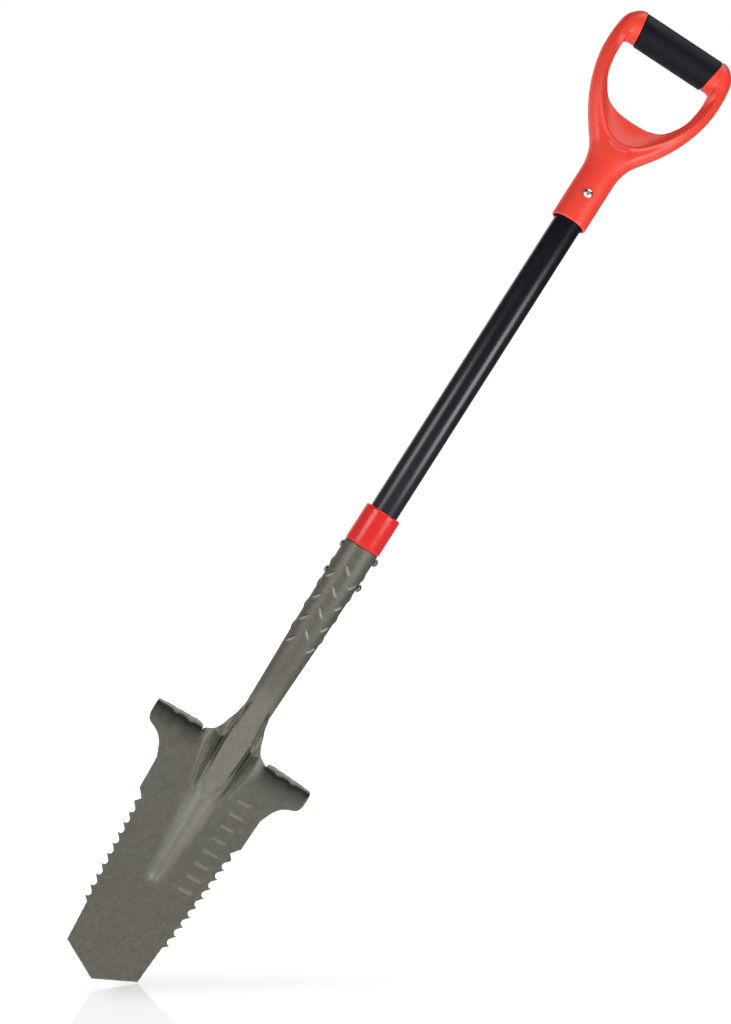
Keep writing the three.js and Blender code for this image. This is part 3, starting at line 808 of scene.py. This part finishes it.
def rivet(name, z):
    """A shank right through the socket, with a domed head on the right and a flatter one on the left."""
    seat = float(socket_radius(z)) + GAP
    rise, fall = np.linspace(0, math.pi / 2, 12), np.linspace(math.pi / 2, 0, 10)
    head = [(RIVET_HEAD_R * math.cos(t), seat + 0.5 + 3.1 * math.sin(t)) for t in rise]
    tail = [(RIVET_TAIL_R * math.cos(t), -seat - 0.3 - 1.6 * math.sin(t)) for t in fall]
    head[-1], tail[0] = (0, head[-1][1]), (0, tail[0][1])
    shank = [(RIVET_TAIL_R, -seat), (RIVET_R, -seat), (RIVET_R, seat)]
    profile = [*tail, *shank, (RIVET_HEAD_R - 0.2, seat), (RIVET_HEAD_R, seat + 0.2), *head]
    return lathe(name, profile, along_x(z), 64)


add_piece(blade_and_socket(), "blade_and_socket", coat)
add_piece(d_handle(), "d_handle", handle_red)
add_piece(grip_sleeve(), "grip_sleeve", rubber)
add_piece(screw(), "handle_screw", screw_steel)
profile = tube_profile(SHAFT_R - SHAFT_WALL, SHAFT_R, SHAFT_START_Z, SHAFT_END_Z, 0.4)
add_piece(lathe("shaft_tube_painted", profile, None, 160), "shaft_tube", paint)
low, top, bore = SOCKET_TOP_Z + GAP, COLLAR_TOP_Z, SHAFT_R + GAP
profile = [(bore, low), *arc((COLLAR_R - 0.7, low + 0.7), 0.7, -90, 0, 6)]
profile += [(COLLAR_R, low + 4), (COLLAR_R, top - 6)]
profile += [*arc((COLLAR_R - 2.2, top - 2.2), 2.2, 0, 90, 10), (bore, top)]
add_piece(lathe("socket_collar_moulding", profile, None, 160), "socket_collar", collar_red)
for name, z in zip(("rivet_lower", "rivet_upper"), RIVET_Z):
    add_piece(rivet(name + "_steel", z), name, rivet_steel)
for name, bottom, top in PLUGS:
    outer, inner = PLUG_R, PLUG_R - PLUG_BEVEL
    profile = [(0, bottom), (inner, bottom), (outer, bottom + PLUG_BEVEL)]
    profile += [(outer, top - PLUG_BEVEL), (inner, top), (0, top)]
    add_piece(lathe(name + "_moulding", profile, None, 64), name, plug)

# ---- Stage, light and camera --------------------------------------------------------------------

TILT = math.radians(32.5)  # how far the shovel leans to the right in the picture
TURN = math.radians(-2.5)  # how far the camera stands to the left of straight in front
CAMERA_DISTANCE, CAMERA_TARGET = 1.288, Vector((-0.0148, 0, -0.5222))
FLOOR_BELOW_TIP, FLOOR_HALF = 0.0056, 4.0
SHADOW_HALF, SHADOW_START, SHADOW_END, SHADOW_DEPTH = 0.036, 0.03, 0.52, 0.24
up = Vector((-math.sin(TILT), 0, math.cos(TILT)))
side = Vector((math.cos(TILT), 0, math.sin(TILT)))
tip = Vector((0, -TIP_U * SIN_LEAN, BEND_Z - GRIP_Z - TIP_U * COS_LEAN)) * 0.001


def aim(made, location, target, upward=Vector((0, 0, 1))):
    """Points an object's -Z at the target."""
    back = (Vector(location) - Vector(target)).normalized()
    right = upward.cross(back).normalized()
    turn = Matrix((right, back.cross(right), back)).transposed().to_4x4()
    made.matrix_world = Matrix.Translation(location) @ turn


def white_floor():
    """A glossy white floor at the tip's level, with a painted soft shadow line under the leaning shovel.

    Its underside is clear, so that it doesn't hide the shovel in views from below its level.
    """
    mesh = bpy.data.meshes.new("floor")
    ground = tip - up * FLOOR_BELOW_TIP
    deep = Vector((0, 1, 0))
    signs = ((-1, -1), (1, -1), (1, 1), (-1, 1))
    corners = [ground + side * a * FLOOR_HALF + deep * b * FLOOR_HALF for a, b in signs]
    mesh.from_pydata([tuple(c) for c in corners], [], [(0, 1, 2, 3)])
    floor = bpy.data.objects.new("floor", mesh)
    bpy.context.scene.collection.objects.link(floor)
    n = Nodes("floor")

    def reach(axis):
        """How far a point lies from the tip along an axis."""
        node = n.add("ShaderNodeVectorMath", operation="DOT_PRODUCT")
        n.link(n.position, node.inputs[0])
        node.inputs[1].default_value = axis
        return n.math("SUBTRACT", node.outputs["Value"], ground.dot(axis))

    # The shadow line is painted: the floor's glow is lowered along a soft band running from the tip
    across, depth = reach(side), n.math("DIVIDE", reach(deep), SHADOW_HALF)
    line = n.math("EXPONENT", n.math("MULTIPLY", n.math("MULTIPLY", depth, depth), -1.0))
    start = n.span(across, 0.0, SHADOW_START)
    end = n.span(across, 0.0, SHADOW_END, 1.0, 0.0)
    dark = n.math("MULTIPLY", n.math("MULTIPLY", start, end), n.math("MULTIPLY", line, SHADOW_DEPTH))
    grey = n.math("SUBTRACT", 0.9, dark)
    n.set(Base_Color=(0.0, 0.0, 0.0, 1.0), Emission_Color=(1.0, 1.0, 1.0, 1.0), Emission_Strength=grey)
    n.set(Roughness=0.06, IOR=1.75)
    one_sided = n.add("ShaderNodeMixShader")
    n.link(n.add("ShaderNodeNewGeometry").outputs["Backfacing"], one_sided.inputs[0])
    n.link(n.shader.outputs["BSDF"], one_sided.inputs[1])
    n.link(n.add("ShaderNodeBsdfTransparent").outputs["BSDF"], one_sided.inputs[2])
    n.link(one_sided.outputs["Shader"], n.tree.nodes["Material Output"].inputs["Surface"])
    floor.visible_diffuse = floor.visible_glossy = floor.visible_transmission = False
    mesh.materials.append(n.material)


white_floor()

world = bpy.data.worlds.new("studio")
bpy.context.scene.world = world
world.use_nodes = True
tree = world.node_tree
background = tree.nodes["Background"]
direction = tree.nodes.new("ShaderNodeTexCoord").outputs["Generated"]


def along(axis):
    """How far the sky direction points along an axis, -1 to 1."""
    node = tree.nodes.new("ShaderNodeVectorMath")
    node.operation = "DOT_PRODUCT"
    tree.links.new(direction, node.inputs[0])
    node.inputs[1].default_value = axis
    return node.outputs["Value"]


def soft_span(value, low, high, to_low, to_high):
    """Carries low..high to to_low..to_high with a smooth step."""
    node = tree.nodes.new("ShaderNodeMapRange")
    node.interpolation_type = "SMOOTHSTEP"
    tree.links.new(value, node.inputs["Value"])
    for key, number in (("From Min", low), ("From Max", high), ("To Min", to_low), ("To Max", to_high)):
        node.inputs[key].default_value = number
    return node.outputs["Result"]


def combine(operation, a, b):
    """One arithmetic step between two values in the world's nodes."""
    node = tree.nodes.new("ShaderNodeMath")
    node.operation = operation
    tree.links.new(a, node.inputs[0])
    tree.links.new(b, node.inputs[1])
    return node.outputs[0]


height = along((0, 0, 1))
behind = along((0, 1, 0))
# The sky is bright below the horizon, dark above it, and bright again overhead and far behind
sky = soft_span(height, -0.26, -0.04, 1.25, 0.3)
sky = combine("MULTIPLY", sky, soft_span(height, 0.05, 0.42, 1.0, 0.12))
sky = combine("MULTIPLY", sky, soft_span(behind, -0.3, 0.4, 1.0, 0.6))
sky = combine("ADD", sky, soft_span(height, 0.86, 0.98, 0.0, 1.4))
above_floor, far = soft_span(along(up), 0.02, 0.14, 0.0, 1.0), soft_span(behind, 0.55, 0.8, 0.0, 1.0)
backdrop = combine("MULTIPLY", above_floor, far)
sky = combine("MAXIMUM", sky, backdrop)

# The camera sees white wherever it looks past the shovel and the floor
seen = tree.nodes.new("ShaderNodeLightPath").outputs["Is Camera Ray"]
tree.links.new(combine("MAXIMUM", sky, seen), background.inputs["Strength"])
background.inputs["Color"].default_value = (1, 1, 1, 1)


def soft_box(name, angles, size, power, distance, target, colour=(1, 1, 1)):
    """A rectangle of light aimed at the target. angles: azimuth from the front, and elevation."""
    light = bpy.data.lights.new(name, "AREA")
    light.shape = "RECTANGLE"
    light.size, light.size_y = size
    light.energy = power
    light.color = colour
    made = bpy.data.objects.new(name, light)
    bpy.context.scene.collection.objects.link(made)
    az, el = (math.radians(angle) for angle in angles)
    offset = Vector((math.sin(az) * math.cos(el), -math.cos(az) * math.cos(el), math.sin(el))) * distance
    aim(made, Vector(target) + offset, target)


soft_box("left_box", (-47, 0), (0.34, 0.30), 1.6, 0.75, (0, 0, -0.42))
soft_box("right_box", (50, 0), (0.36, 0.44), 3.4, 0.75, (0, 0, -0.28), (0.93, 0.97, 1.0))
soft_box("top_box", (0, 62), (0.9, 0.2), 2.6, 0.8, (0, 0, 0))

camera_data = bpy.data.cameras.new("camera")
camera_data.lens = 48
camera_data.sensor_width = 36
camera_data.sensor_fit = "AUTO"
camera = bpy.data.objects.new("camera", camera_data)
bpy.context.scene.collection.objects.link(camera)
away = Vector((math.sin(TURN), -math.cos(TURN), 0))
aim(camera, CAMERA_TARGET + away * CAMERA_DISTANCE, CAMERA_TARGET, up)
bpy.context.scene.camera = camera
bpy.context.scene.view_settings.view_transform = "Standard"
